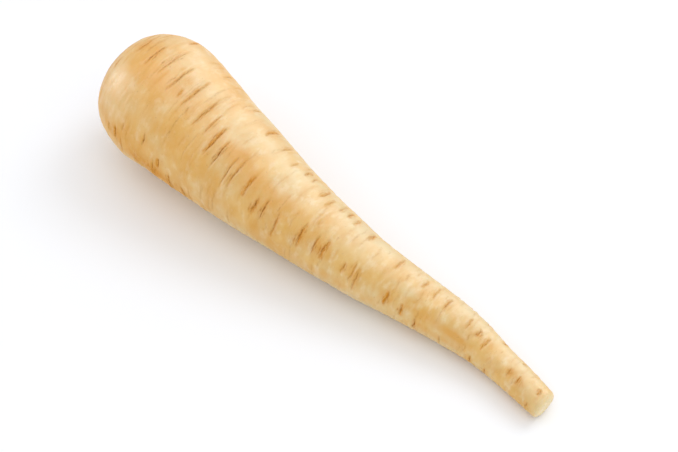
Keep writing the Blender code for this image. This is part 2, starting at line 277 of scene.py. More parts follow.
def add_crease(at, heading, reach, depth, width, dark, halo, halo_width, bow, wander, beside=0.0):
    """Adds one crease. t is the angle from its middle as a share of its reach. d is the distance over the
    skin from its line, which runs at its own place plus bow times t squared plus two sine waves. The relief
    falls by depth times exp(-(d / width)^2), rises at the lips, and fades with 1 - t^2. The dark map takes a
    narrower bell, broken into beads. The halo is a wider, ragged bell that lies beside the line, with a
    third, very wide and weak."""
    at_over = np.interp(at, along[first_shoulder_row:], over[first_shoulder_row:])
    near = np.flatnonzero(skin_rows & (np.abs(over - at_over) < CREASE_RANGE))
    t = (np.remainder(angles - heading + math.pi, 2 * math.pi) - math.pi) / reach
    touched = np.flatnonzero(np.abs(t) < 1.5)
    if not len(near) or not len(touched):
        return
    t = t[touched][None, :]
    wave = np.sin(3.1 * t + 40 * heading) + 0.5 * np.sin(7.7 * t + 90 * heading)
    d = over[near][:, None] - (at_over + bow * t * t + wander * wave)
    fade = np.clip(1 - t * t, 0, 1)
    groove = np.exp(-((d / width) ** 2)) - LIP_SHARE * np.exp(-(((np.abs(d) - LIP_PLACE) / LIP_WIDTH) ** 2))
    here = np.ix_(near, touched)
    skin_relief[here] -= depth * groove * fade**0.8
    beads = 0.8 + 0.2 * np.sin(5.3 * t + 200 * heading) * np.sin(11 * t + 70 * heading)
    core = dark * beads * np.exp(-((d / (0.85 * width)) ** 2)) * fade
    crease_map[here] = np.maximum(crease_map[here], core)
    ragged = halo_width * (1 + 0.35 * np.sin(9 * t + 130 * heading) * np.sin(4 * t + 50 * heading))
    bell = np.exp(-(((d - beside) / ragged) ** 2)) * np.clip(1 - t**4, 0, 1)
    wide_bell = np.exp(-((d / WIDE_HALO) ** 2) - (t / 0.9) ** 2)
    stain_and_shade_map[here] = np.maximum(stain_and_shade_map[here], np.maximum(halo * bell, 0.3 * halo * wide_bell))


MAIN_DEPTH, SIDE_DEPTH = 0.7 * MM, 0.2 * MM
WANDER = 0.16 * MM
SHORT = math.radians(8)  # what reaches no further has nothing beside it
for place, heading, reach, dark, halo in scars + PITS:
    at, heading, reach = place * MM, math.radians(heading), math.radians(reach)
    bow = chance.uniform(-0.45, 0.25) * MM
    is_open = max(halo - 0.5, 0)
    side = 1 if chance.random() < 0.6 else -1
    add_crease(at, heading, 1.25 * reach, MAIN_DEPTH * dark**0.7, (0.28 + 0.3 * is_open) * MM, dark,
               0.9 * halo, (0.62 + 0.75 * is_open) * MM, bow, WANDER, side * (0.15 + 0.6 * is_open) * MM)
    # The stronger the scar, the more lies beside it: nothing, one crease or two.
    for step in (side, -side)[:int(2.2 * max(dark, halo))]:
        if reach > SHORT:
            add_crease(at + step * chance.uniform(0.75, 1.3) * MM,
                       heading + chance.uniform(-0.5, 0.5) * reach, reach * chance.uniform(0.4, 0.8),
                       SIDE_DEPTH * dark, 0.3 * MM, chance.uniform(0.3, 0.7) * dark, 0.5 * halo, 0.6 * MM,
                       bow, WANDER)
for place, heading, reach in CROWN_CREASES:
    add_crease(place * MM, math.radians(heading), math.radians(reach), 0.2 * MM, 0.35 * MM, 0.4, 0.45,
               0.9 * MM, 0, 0.2 * MM)
print("the deepest crease sinks by", round(float(-skin_relief.min() / MM), 2), "mm")

# %% [markdown]
# ## The wrinkled rim of the crown
#
# Round the hollow the skin is the oldest of all. It has shrunk into many long, shallow wrinkles that run
# round the rim, closest together at the crest. The same formula makes them. Squaring the random number
# crowds them there.

# %% Wrinkles of the crown
CROWN_WRINKLES = 70
WRINKLED_RIM = 2.6 * MM
WRINKLE_REACH = (14, 50)  # degrees to either side
WRINKLE_WIDTH = (0.3, 0.5)  # millimetres
wrinkling = np.random.default_rng(11)
for _ in range(CROWN_WRINKLES):
    at = WRINKLED_RIM * wrinkling.random() ** 2
    strength = wrinkling.uniform(0.2, 1)
    add_crease(at, wrinkling.uniform(0, 2 * math.pi), math.radians(wrinkling.uniform(*WRINKLE_REACH)),
               0.28 * MM * strength, wrinkling.uniform(*WRINKLE_WIDTH) * MM, 0.8 * strength, 0.5 * strength,
               0.7 * MM, wrinkling.uniform(-0.8, 0.8) * MM, 0.3 * MM)
print("the rim has", CROWN_WRINKLES, "wrinkles")

# %% [markdown]
# ## Soft patches
#
# Old skin also turns brown in soft patches, with no crease under them, as near the crown where the leaves
# kept it damp; two such patches on the underside near the head are partly painted shade. And the skin's tone
# drifts as a whole between golden and pale over a few centimetres, which noise alone makes too even, and
# part of that drift is painted light: paler high on the far flank, where the shine runs, which is painted
# highlight, and more golden low down, which is painted shade. A patch is a plain bell in both directions.

# %% Soft patches
# A patch is (along in millimetres, degrees, half-length in millimetres, half-height in degrees, strength).
# The two patches on the underside near the head, at 45 and 36 mm, are partly a stain and partly painted shade
# with warm reflected light.
BROWN_AND_SHADE_PATCHES = [
    (10, 93, 2.6, 9, 0.45), (22, 66, 6, 6, 0.15), (37, 88, 2.0, 8, 0.30), (45, -13, 9, 9, 0.80),
    (36, -6, 8, 8, 0.45), (33, 52, 3, 5, 0.20), (21, 4, 4, 8, 0.40), (13, 10, 5, 9, 0.25),
    (30, 5, 8, 6, 0.20), (117, 38, 2.5, 12, 0.20), (124, 43, 3, 13, 0.30), (78, 74, 3.5, 7, 0.30),
    (214, 66, 2.2, 12, 0.35), (219, 58, 2.4, 13, 0.40), (194, 78, 1.8, 9, 0.35), (60, 200, 14, 22, 0.40),
    (130, 240, 16, 25, 0.35), (30, 280, 10, 25, 0.45),
]
# Where the skin as a whole is more golden (above 0) or paler (below 0). Part of this is the skin's own tone
# and part is painted light: the pale patches from about 95 to 140 degrees are painted highlight, and the
# golden ones low on the root are painted shade.
TONE_AND_LIGHT_PATCHES = [
    (26, 73, 10, 14, 1.0), (58, 38, 14, 14, 0.55), (82, 15, 24, 18, 0.5), (92, 56, 16, 14, 1.0),
    (24, 38, 8, 10, -0.3), (90, -12, 60, 16, 0.4), (80, 68, 24, 10, 0.4), (112, 68, 10, 10, 0.5),
    (76, 72, 7, 9, 0.6), (134, 68, 12, 14, -0.4), (160, 62, 8, 10, -0.6), (170, 36, 8, 12, 0.5),
    (184, 36, 12, 14, 1.0), (206, 32, 16, 22, 0.45), (182, 8, 12, 12, 0.6), (224, 60, 10, 50, -0.5),
    (44, 98, 12, 10, -0.4), (86, 104, 26, 16, -0.55), (138, 118, 16, 26, -1.0), (112, 128, 12, 16, -0.7),
    (75, 138, 20, 12, -0.5), (181, 112, 14, 18, -0.6), (212, 118, 14, 24, -0.8), (9, 113, 8, 14, -1.0),
    (115, 20, 10, 20, -0.3), (138, 6, 16, 12, 0.5), (90, 38, 12, 12, 0.4), (112, -2, 12, 12, 0.4),
    (60, 190, 30, 30, 0.5), (150, 230, 30, 40, 0.5), (90, 290, 30, 30, -0.4), (200, 300, 25, 40, 0.5),
    (20, 240, 20, 40, 0.6), (48, 74, 30, 11, 0.4), (232, 58, 3, 300, -1.0),
]


def bells(patches):
    """The bells of a list of patches, each as a map over the grid: strength * exp(-d^2 - t^2)."""
    for place, heading, length, height, strength in patches:
        d = (along / MM - place)[:, None] / length
        t = (np.remainder(np.degrees(angles) - heading + 180, 360) - 180)[None, :] / height
        yield strength * np.exp(-d * d - t * t)


# The brown patches join the scars' halo here, and with them the painted shade under the head.
for bell in bells(BROWN_AND_SHADE_PATCHES):
    stain_and_shade_map = 1 - (1 - stain_and_shade_map) * (1 - bell * skin_rows[:, None])
# The tone map holds painted light as well as the skin's own tone: pale where the shine falls high on the far
# flank, golden where shade falls low down.
tone_and_light_map = np.clip(sum(bells(TONE_AND_LIGHT_PATCHES)), -1, 1)
print("stained on average:", round(float(stain_and_shade_map[skin_rows].mean()), 3))

# %% [markdown]
# ## Between the scars
#
# Between the ranks the skin is not blank either. It carries hundreds of faint, short wrinkles, all running
# across the root. The same crease formula makes them, shallow and nearly without colour: the cube of the
# random number leaves only a few of them dark enough to see as lines.

# %% Faint wrinkles
FAINT_COUNT = 420
FAINT_FROM, FAINT_TO = 3, 229  # millimetres along the root
FAINT_DEPTH = (0.02, 0.09)  # millimetres
for _ in range(FAINT_COUNT):
    at = chance.uniform(FAINT_FROM, FAINT_TO) * MM
    depth = chance.uniform(*FAINT_DEPTH) * MM
    add_crease(at, chance.uniform(0, 2 * math.pi), math.radians(chance.uniform(7, 30)), depth,
               chance.uniform(0.3, 0.55) * MM, 0.3 * chance.random() ** 3, chance.uniform(0.05, 0.28),
               chance.uniform(0.4, 0.8) * MM, chance.uniform(-0.6, 0.6) * MM, 0.2 * MM)
print("darkened on average:", round(float(crease_map[skin_rows].mean()), 3))

# %% [markdown]
# The root also swells and dips a little everywhere, which is what breaks its shine up. That is a sum of
# waves over the grid, long ones and short ones. Each has a whole number of lobes round the root, so that it
# closes on itself.


# %% Swellings
def swell(waves, longest, shortest, most_lobes):
    """A sum of cosines over the grid: each has its own wavelength along the root and its own whole number of
    lobes round it, and a random phase. It is scaled to a spread of about 1."""
    total = np.zeros((len(outline), COLUMNS))
    for _ in range(waves):
        wave = 2 * math.pi / (math.exp(chance.uniform(math.log(shortest), math.log(longest))) * MM)
        lobes = chance.integers(0, most_lobes + 1) * (1 if chance.random() < 0.5 else -1)
        total += np.cos(wave * along[:, None] + lobes * angles[None, :] + chance.uniform(0, 2 * math.pi))
    return total / math.sqrt(waves / 2)


BROAD_DEPTH, FINE_DEPTH = 0.10 * MM, 0.035 * MM
broad = swell(14, 60, 18, 4)
fine = swell(26, 9, 3, 12)
lobed = sum(share * np.sin(lobes * angles[None, :] + turn * along[:, None] + phase)
            for share, lobes, turn, phase in LOBES) * out[:, None]
size = np.clip(out / SHOULDER_RADIUS, 0.3, 1)[:, None]
skin_relief += lobed + BROAD_DEPTH * size * broad + FINE_DEPTH * fine
print("the skin's relief goes from", *(np.array([skin_relief.min(), skin_relief.max()]) / MM).round(2), "mm")

# %% [markdown]
# ## Laying the root down
#
# Now the grid becomes a shape. The relief is added to the radius, but it fades out in the hollow and on the
# cut face, where there is no skin; the hollow's wall has faint rings instead. The knife's slant moves points
# near the tip along the line, in proportion to how far they stand towards the longest side. Then each row is
# set square to the line at its own place, and the whole is lowered until it presses a little into the floor,
# where it is flattened.

# %% The fine surface
SKIN_FADE = 2 * MM  # from the hollow's edge outwards
HOLLOW_RING_DEPTH, HOLLOW_RING_STEP = 0.12 * MM, 1.1 * MM
on_skin = np.clip((out - HOLLOW_RADIUS) / SKIN_FADE, 0, 1)
on_skin = np.where(along > ROOT_LENGTH / 2, np.clip(out / TIP_RADIUS, 0, 1), on_skin)[:, None]
radius = out[:, None] + on_skin * skin_relief
in_hollow = (rows < first_skin_row)[:, None]
ring_wave = np.sin(2 * math.pi * along[:, None] / HOLLOW_RING_STEP + np.sin(7 * angles[None, :]))
radius = radius + in_hollow * HOLLOW_RING_DEPTH * ring_wave
near_tip = np.clip(1 - (ROOT_LENGTH - along) / CUT_REACH, 0, 1)[:, None]
place = along[:, None] + near_tip * radius * np.cos(angles[None, :] - CUT_HEADING) * CUT_SLANT
level, up = section_axes(place)
sideways, upwards = (radius * wave(angles) for wave in (np.cos, np.sin))
skin = line_at(place) + sideways[..., None] * level + upwards[..., None] * up

box_low, box_high = (np.array(corner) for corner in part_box("root"))
shift = (box_low + box_high) / 2 - (skin.reshape(-1, 3).min(axis=0) + skin.reshape(-1, 3).max(axis=0)) / 2
shift[2] = -skin[..., 2].min() - PRESSED
skin = np.clip(skin + shift, box_low, box_high)
print("skin moved by", (shift / MM).round(2), "mm to lie in its solid's box")

# %% [markdown]
# ## Meshes from grids
#
# One helper turns any grid of rings into a closed mesh: quads between neighbouring rings, and a fan of
# triangles at each end. It measures the signed volume, and turns the faces round if that is negative, so
# they always point outwards. Maps go in as point attributes.


# %% Grid to mesh
def closed_mesh(name, rings, maps):
    """A closed mesh from rings (rows, columns, 3), with a pole at each end, which is that ring's middle. maps
    are (rows, columns) arrays. The volume is a sixth of the sum of a . (b x c) over the triangles."""
    count, columns = rings.shape[:2]
    points = np.concatenate([rings.reshape(-1, 3), [rings[0].mean(axis=0), rings[-1].mean(axis=0)]])
    column = np.arange(columns)
    after = np.roll(column, -1)
    start = np.arange(count - 1)[:, None] * columns
    quads = np.stack([start + column, start + after, start + columns + after, start + columns + column], -1)
    quads = quads.reshape(-1, 4)
    end = (count - 1) * columns
    fans = np.concatenate([np.stack([np.full(columns, count * columns), after, column], 1),
                           np.stack([np.full(columns, count * columns + 1), end + column, end + after], 1)])
    a, b, c = (points[fans[:, k]] for k in range(3))
    volume = np.einsum("ij,ij->i", a, np.cross(b, c)).sum()
    for first_corner in (1, 2):
        b, c = points[quads[:, first_corner]], points[quads[:, first_corner + 1]]
        volume += np.einsum("ij,ij->i", points[quads[:, 0]], np.cross(b, c)).sum()
    if volume < 0:
        quads, fans = quads[:, ::-1], fans[:, ::-1]
    mesh = bpy.data.meshes.new(name)
    mesh.vertices.add(len(points))
    mesh.vertices.foreach_set("co", points.astype(np.float32).ravel())
    corners = np.concatenate([quads.ravel(), fans.ravel()])
    mesh.loops.add(len(corners))
    mesh.loops.foreach_set("vertex_index", corners.astype(np.int32))
    starts = np.concatenate([np.arange(len(quads)) * 4, len(quads) * 4 + np.arange(len(fans)) * 3])
    mesh.polygons.add(len(starts))
    mesh.polygons.foreach_set("loop_start", starts.astype(np.int32))
    mesh.update(calc_edges=True)
    mesh.validate()
    for label, values in maps.items():
        layer = mesh.attributes.new(label, "FLOAT", "POINT")
        ends = [values[0].mean(), values[-1].mean()]
        layer.data.foreach_set("value", np.concatenate([values.ravel(), ends]).astype(np.float32))
    mesh.shade_smooth()
    piece = bpy.data.objects.new(name, mesh)
    bpy.context.scene.collection.objects.link(piece)
    print(name, "has", len(points), "points,", 2 * len(quads) + len(fans), "triangles,",
          round(abs(volume) / 6e-6, 2), "cm3")
    return piece


# %% [markdown]
# The skin's mesh takes six maps along for its material: the dark of the creases, their halo with the brown
# patches, which brings a little painted shade, the tone, which brings painted light and shade, how far along
# the root a point is, and two that say where the skin ends. Of these, `crown` rises to 1 at the crest and
# stays so in the hollow, and `cut` rises to 1 over the rounded edge of the cut.

# %% The root's skin
CROWN_FROM, CROWN_OVER = 0.2 * MM, 4.5 * MM


def all_round(values):
    """One value for each row, the same all round it."""
    return np.repeat(values[:, None], COLUMNS, axis=1)


crown_map = all_round(np.clip(1 - (along - CROWN_FROM) / CROWN_OVER, 0, 1))
crown_map[:first_skin_row] = 1
cut_map = all_round(np.clip((rows - first_cut_row) / CUT_ROWS, 0, 1))
# The tone map goes along with its painted light and shade, and the stain map with a little painted shade.
root_skin = closed_mesh("root_skin", skin, {"crease": crease_map, "stain": stain_and_shade_map, "crown": crown_map,
                                            "cut": cut_map, "along": all_round(along / ROOT_LENGTH),
                                            "tone": tone_and_light_map})
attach(root_skin, "root")
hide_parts("root")

# %% [markdown]
# ## Materials: small helpers
#
# Colours are written as the hex values that a painter's program shows, and one function turns them to the
# linear values that a shader works with. One more function adds a node, with its settings and its links. Two
# steps come back in every finish, so each is a function too: a pattern that is longer one way than the
# other, and a coat of colour, which is laid over another as thickly as a pattern says.


# %% Colour and node helpers
def linear(hex_colour):
    """An sRGB hex colour as linear red, green, blue, alpha."""
    values = np.array([int(hex_colour[i:i + 2], 16) for i in (1, 3, 5)]) / 255
    values = np.where(values <= 0.04045, values / 12.92, ((values + 0.055) / 1.055) ** 2.4)
    return (*values.tolist(), 1.0)


def add(material, kind, settings=None, **links):
    """Adds a node to a material. settings are its own values and the values of its unlinked sockets. links
    are its sockets' sources: A_B stands for the socket named "A B", and _0, _1 for its sockets by number."""
    node = material.node_tree.nodes.new("ShaderNode" + kind)
    for name, value in (settings or {}).items():
        if isinstance(name, int) or name in node.inputs:
            node.inputs[name].default_value = value
        else:
            setattr(node, name, value)
    for name, source in links.items():
        socket = node.inputs[int(name[1:])] if name[1:].isdigit() else node.inputs[name.replace("_", " ")]
        material.node_tree.links.new(source, socket)
    return node


def new_material(name):
    """An empty node material."""
    material = bpy.data.materials.new(name)
    material.use_nodes = True
    material.node_tree.nodes.clear()
    return material


def stretched(material, along_it, round_it, detail, roughness=0.55):
    """Noise whose spots are that long along the root (its X) and that long round it, in metres."""
    place = add(material, "TexCoord").outputs["Object"]
    scaled = add(material, "Mapping", {"Scale": (1 / along_it, 1 / round_it, 1 / round_it)}, Vector=place)
    noise = add(material, "TexNoise", {"Scale": 1.0, "Detail": detail, "Roughness": roughness},
                Vector=scaled.outputs[0])
    return noise.outputs["Fac"]


def coated(material, under, colour, pattern, low, high, least=0.0, most=1.0, within=None):
    """A colour laid over another: least of it where the pattern is at low, most where it is at high, evenly
    between, and all of it times the map within. Both colours are either linear values or sockets."""
    amount = add(material, "MapRange", {"From Min": low, "From Max": high, "To Min": least, "To Max": most},
                 Value=pattern).outputs[0]
    if within is not None:
        amount = add(material, "Math", {"operation": "MULTIPLY"}, _0=within, _1=amount).outputs[0]
    ends = {6: under, 7: colour}
    fixed = {number: end for number, end in ends.items() if isinstance(end, tuple)}
    linked = {f"_{number}": end for number, end in ends.items() if number not in fixed}
    return add(material, "Mix", {"data_type": "RGBA", **fixed}, _0=amount, **linked).outputs[2]


# %% [markdown]
# ## Fresh parsnip skin
#
# Washed parsnip skin is thin, damp and slightly waxy. The eye gets three things from it: a warm cream that
# goes tan in blotches and towards the crown, fine marks that all run across the root, and a soft broad
# shine. A little light travels under the skin, which fills the creases with warmth.
#
# All its patterns are noise, pulled out round the root. Their scales are real ones, along the root and round
# it: growth rings of 1.1 by 9 mm, clouds of 9 by 12 mm, pale patches of 22 by 20 mm, mottle of 3.5 by 6 mm,
# specks of 0.6 by 0.9 mm, the skin's grain of 0.5 by 0.8 mm, and tears in old tissue of 0.45 by 1.6 mm.

# %% Patterns of the skin
skin_finish = new_material("fresh_parsnip_skin_washed")
rings = stretched(skin_finish, 1.1 * MM, 9 * MM, 3, 0.68)
clouds = stretched(skin_finish, 9 * MM, 12 * MM, 3)
patches = stretched(skin_finish, 22 * MM, 20 * MM, 2)
mottle = stretched(skin_finish, 3.5 * MM, 6 * MM, 3)
tears = stretched(skin_finish, 0.45 * MM, 1.6 * MM, 2)
grain = stretched(skin_finish, 0.5 * MM, 0.8 * MM, 2)
speckles = stretched(skin_finish, 0.6 * MM, 0.9 * MM, 0)
# Of these maps, tone carries painted light and shade and stain a little painted shade, besides the skin's own
# colour.
crease, stain, crown, cut, from_crown, tone = (
    add(skin_finish, "Attribute", {"attribute_name": name}).outputs["Fac"]
    for name in ("crease", "stain", "crown", "cut", "along", "tone"))
print("the skin has", len(skin_finish.node_tree.nodes), "nodes of patterns and maps")

# %% [markdown]
# The colour is laid as a painter would, from the ground up. First comes the skin's own cream, clouded with
# tan and pale, then its mottle. Over that lie the tones that drift along the root, which are partly painted
# light: paler where the shine falls high on the far flank, and more golden where shade falls low down. Then
# comes the tan of the shoulder, then the growth rings, a light and a dark one, and the browned rim of the
# crown. Last come the scars: the halo of old tissue, torn by fine noise, which also carries a little painted
# shade under the head, the brown bottom of each crease, and a few specks. The cut has a colour of its own.

# %% Colour of the skin
SKIN_CREAM, SKIN_TAN = linear("#e0b86e"), linear("#d7a652")
SKIN_PALE, SKIN_GOLD = linear("#dcc694"), linear("#d8a045")
MOTTLE_LIGHT, MOTTLE_DARK = linear("#ecdcb8"), linear("#da9f34")
RING_LIGHT, RING_DARK = linear("#f3d7a4"), linear("#d19a4e")
SHOULDER_TAN = linear("#e9aa50")
RIM_TAN, RIM_BROWN = linear("#c98d4c"), linear("#ab763c")
OLD_TISSUE, CREASE_BROWN, SPECK_BROWN = linear("#cd861a"), linear("#a1670e"), linear("#a8703a")
CUT_CREAM, CUT_HEART = linear("#f0dfb6"), linear("#e6cc8e")

colour = coated(skin_finish, SKIN_CREAM, SKIN_TAN, clouds, 0.38, 0.62)
colour = coated(skin_finish, colour, SKIN_PALE, patches, 0.42, 0.64, most=0.7)
colour = coated(skin_finish, colour, MOTTLE_LIGHT, mottle, 0.52, 0.70, most=0.42)
colour = coated(skin_finish, colour, MOTTLE_DARK, mottle, 0.48, 0.32, most=0.36)
# The tone map, painted light and shade included, is multiplied by the clouds, so that its patches have no
# smooth edge.
cloudy = add(skin_finish, "MapRange", {"From Min": 0.3, "From Max": 0.7, "To Min": 0.6, "To Max": 1.3},
             Value=clouds)
uneven_tone_and_light = add(skin_finish, "Math", {"operation": "MULTIPLY_ADD", 2: -0.12}, _0=tone,
                  _1=cloudy.outputs[0]).outputs[0]
# Painted light: gold where shade falls low on the root and pale where the shine falls high on the far flank,
# among the skin's own drifts of tone.
colour = coated(skin_finish, colour, SKIN_GOLD, uneven_tone_and_light, 0.0, 1.0, most=0.9)
colour = coated(skin_finish, colour, SKIN_PALE, uneven_tone_and_light, -0.12, -1.0, most=0.9)
colour = coated(skin_finish, colour, SHOULDER_TAN, from_crown, 0.40, 0.06, most=0.35)
colour = coated(skin_finish, colour, RING_DARK, rings, 0.58, 0.80, most=0.22)
colour = coated(skin_finish, colour, RING_LIGHT, rings, 0.40, 0.20, most=0.20)
colour = coated(skin_finish, colour, RIM_TAN, rings, 0.3, 0.7, 0.3, 0.9, within=crown)
rim = add(skin_finish, "MapRange", {"From Min": 0.74}, Value=crown).outputs[0]
colour = coated(skin_finish, colour, RIM_BROWN, grain, 0.35, 0.6, 0.25, 0.75, within=rim)
# The halo colour also lays down the painted shade of the two underside patches near the head.
colour = coated(skin_finish, colour, OLD_TISSUE, tears, 0.35, 0.6, 0.5, 1.25, within=stain)
colour = coated(skin_finish, colour, CREASE_BROWN, tears, 0.42, 0.56, 0.35, 1.6, within=crease)
colour = coated(skin_finish, colour, SPECK_BROWN, speckles, 0.78, 0.83, most=0.25)
cut_colour = coated(skin_finish, CUT_CREAM, CUT_HEART, grain, 0.35, 0.65)
colour = coated(skin_finish, colour, cut_colour, cut, 0.0, 1.0)

# %% [markdown]
# The shine is that of damp skin: soft, a little uneven, and gone on the scars, because dead tissue is dry.
# The rings and the grain also tilt it, by a tenth of a millimetre at most, which is too fine to be worth a
# finer mesh. Light goes about 1.5 mm deep, red furthest.

# %% Shine of the skin
SMOOTHEST, ROUGHEST = 0.40, 0.50
SCAR_ROUGHNESS = 0.65  # what a full scar adds

shine = add(skin_finish, "MapRange", {"From Min": 0.3, "From Max": 0.7, "To Min": SMOOTHEST,
                                      "To Max": ROUGHEST}, Value=grain)
scarred = add(skin_finish, "Math", {"operation": "MAXIMUM"}, _0=stain, _1=crease)
matte = add(skin_finish, "Math", {"operation": "MULTIPLY_ADD", 1: SCAR_ROUGHNESS, "use_clamp": True},
            _0=scarred.outputs[0], _2=shine.outputs[0])
height = add(skin_finish, "Math", {"operation": "ADD"}, _0=rings, _1=grain)
bump = add(skin_finish, "Bump", {"Strength": 0.55, "Distance": 0.10 * MM}, Height=height.outputs[0])
skin_shader = add(skin_finish, "BsdfPrincipled", {
    "IOR": 1.5, "Subsurface Weight": 0.2, "Subsurface Radius": (1.0, 0.5, 0.2), "Subsurface Scale": 1.5 * MM},
    Base_Color=colour, Roughness=matte.outputs[0], Normal=bump.outputs[0])
add(skin_finish, "OutputMaterial", Surface=skin_shader.outputs[0])
root_skin.data.materials.append(skin_finish)
print("the whole skin has", len(skin_finish.node_tree.nodes), "nodes")

# %% [markdown]
# ## The stump of the leaf stalks
#
# In the hollow stands what is left of the leaf stalks: a brown, corky stump in three tiers, each of them the
# bases of older leaves, and in the middle the cut ends of the youngest. The stump is turned as the root is.
# A leaf's base is a sheath that bulges, so each tier bulges five times round, in scallops that meet in a
# crease and are turned from those of the next tier. Waves of other lengths make it ragged, and fine rings
# make it corky.

# %% The stump's shape
STUMP_GAP = 0.3 * MM  # over the hollow's floor
STUMP_OUTLINE = [(0, 6.3), (4.6, 6.5), (5.7, 6.1), (6.3, 5.2), (6.2, 4.8), (7.1, 4.1), (7.3, 3.3), (7.1, 2.9),
                 (7.9, 2.2), (8.1, 1.4), (7.8, 0.6), (7.4, 0), (0, 0)]  # (out, up) in millimetres
STUMP_LOBES = [(0.035, 5, 0.7), (0.025, 8, 2.2)]  # (share of the radius, lobes, phase)
STUMP_WAVES = [(0.20, 9, 0.6, 0.3), (0.16, 17, -1.1, 2.0), (0.12, 31, 1.7, 4.4),
               (0.08, 53, -2.3, 1.2)]  # (size, lobes, lean, phase)
STUMP_LEAN = 900  # radians per metre of height, for a lean of 1
STUMP_COLUMNS, STUMP_ROWS, STUMP_FACE_ROWS = 180, 110, 16
SHEATHS = 5
SHEATH_TIERS = (2.6 * MM, 4.5 * MM)  # the heights where one tier ends and the next begins
TIER_TURN = 1.9  # radians of phase from one tier's sheaths to the next's
CORK_RING = 0.9 * MM


def stand_in_crown(points):
    """Moves upright points, whose foot is the origin, onto the hollow's floor: X goes level, Y up, Z out of
    the crown. What would stand past the solid's box is held at it."""
    foot = np.array(HOLLOW_DEPTH - STUMP_GAP)
    side, rise = section_axes(foot)
    turn = np.stack([side, rise, np.cross(side, rise)])
    return np.clip(points @ turn + line_at(foot) + shift, *map(np.array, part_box("leaf_bases")))


# The outline's corners are joined by evenly spaced rows, and its flat top and bottom are filled in.
corner = np.array(STUMP_OUTLINE, float)[1:-1] * MM
spacing = np.concatenate([[0], np.cumsum(np.linalg.norm(np.diff(corner, axis=0), axis=1))])
even = np.linspace(0, spacing[-1], STUMP_ROWS)
stump_out, stump_up = np.interp(even, spacing, corner[:, 0]), np.interp(even, spacing, corner[:, 1])
inner = np.linspace(0.25, 4.4, STUMP_FACE_ROWS) * MM
stump_out = np.concatenate([inner, stump_out, inner[::-1]])
stump_up = np.concatenate([6.3 * MM + 0.045 * inner, stump_up, 0 * inner])
turn_angles = np.arange(STUMP_COLUMNS) * 2 * math.pi / STUMP_COLUMNS

# The relief: cosines with a lean, the square root of a cosine's size for the sheaths, and wandering rings. It
# fades out on the top, and towards the bottom, which is out of sight.
ragged = sum(size * np.cos(lobes * turn_angles[None, :] + STUMP_LEAN * stump_up[:, None] * lean + phase)
             for size, lobes, lean, phase in STUMP_WAVES)
tier = np.digitize(stump_up, SHEATH_TIERS)[:, None]
sheaths = np.abs(np.cos(0.5 * SHEATHS * turn_angles[None, :] + TIER_TURN * tier)) ** 0.5 - 0.7
corky = 0.22 * np.cos(2 * math.pi * stump_up[:, None] / CORK_RING + 1.5 * np.sin(3 * turn_angles[None, :]))
on_side = np.clip((stump_out - 4.2 * MM) / (1.5 * MM), 0, 1) * np.clip(stump_up / (1 * MM), 0, 1)
on_side = on_side[:, None]
stump_radius = stump_out[:, None] * (1 + sum(share * np.sin(lobes * turn_angles[None, :] + phase)
                                             for share, lobes, phase in STUMP_LOBES))
stump_radius = stump_radius + on_side * MM * (0.5 * (ragged + corky - 0.35) + 0.7 * sheaths)
stump_height = stump_up[:, None] + MM * on_side * (0.12 * ragged + 0.3 * sheaths)
stump_points = np.stack([stump_radius * np.cos(turn_angles), stump_radius * np.sin(turn_angles),
                         stump_height], -1)
stump = closed_mesh("leaf_base_stump", stand_in_crown(stump_points), {"ring": ragged + corky + 0.8 * sheaths})

# %% [markdown]
# ## The cut stalks
#
# The youngest stalks were cut off with the leaves. Leaves stand in a spiral, each turned 137.5 degrees from
# the last, so their stalks do as well, the middle ones tallest, the outer ones leaning out. Each is a short
# ribbed tube, a little flattened towards the middle, with a torn rim and a pith that has sunk in.

# %% The cut stalks
STALK_COUNT = 9
STALK_RADIUS = 1.55 * MM
STALK_FLATTENED, STALK_WIDENED = 0.82, 1.05  # towards the middle, and across
STALK_SPREAD = 3.9 * MM  # from the middle to the outermost
STALK_ROOT = 4.5 * MM  # how high in the stump it starts
STALK_TOP = (8.0 * MM, 6.9 * MM)  # of the middle one and of the outermost
STALK_LEAN = math.radians(11)
GOLDEN_ANGLE = math.radians(137.5)
STALK_ROWS, STALK_COLUMNS = 12, 28
TORN_RIM = 0.22 * MM


def stalk_rings(index):
    """One cut stalk: rings up its side, each an ellipse with seven ribs, then in over the rim of the cut and
    down to the sunken pith. Two sine waves tear the rim, and grow with the fourth power of the height."""
    share = math.sqrt(index / (STALK_COUNT - 1))
    heading = index * GOLDEN_ANGLE
    height = (1 - share) * STALK_TOP[0] + share * STALK_TOP[1] - STALK_ROOT
    up = np.concatenate([np.linspace(0, 1, STALK_ROWS), [1.0, 0.985, 0.95, 0.90, 0.88]]) * height
    width = np.concatenate([np.linspace(1, 0.85, STALK_ROWS), [0.78, 0.62, 0.45, 0.3, 0.1]]) * STALK_RADIUS
    turn = np.arange(STALK_COLUMNS) * 2 * math.pi / STALK_COLUMNS
    rib = 1 + 0.06 * np.cos(7 * turn + index)
    x = width[:, None] * rib * np.cos(turn) * STALK_FLATTENED
    y = width[:, None] * rib * np.sin(turn) * STALK_WIDENED
    torn = np.sin(2 * turn + index) + 0.7 * np.sin(5 * turn + 2.3 * index)
    z = up[:, None] + TORN_RIM * torn * (up[:, None] / height) ** 4
    lean = STALK_LEAN * share
    x, z = x * math.cos(lean) + z * math.sin(lean), z * math.cos(lean) - x * math.sin(lean)
    x = x + STALK_SPREAD * share
    return np.stack([x * math.cos(heading) - y * math.sin(heading),
                     x * math.sin(heading) + y * math.cos(heading), z + STALK_ROOT], -1)


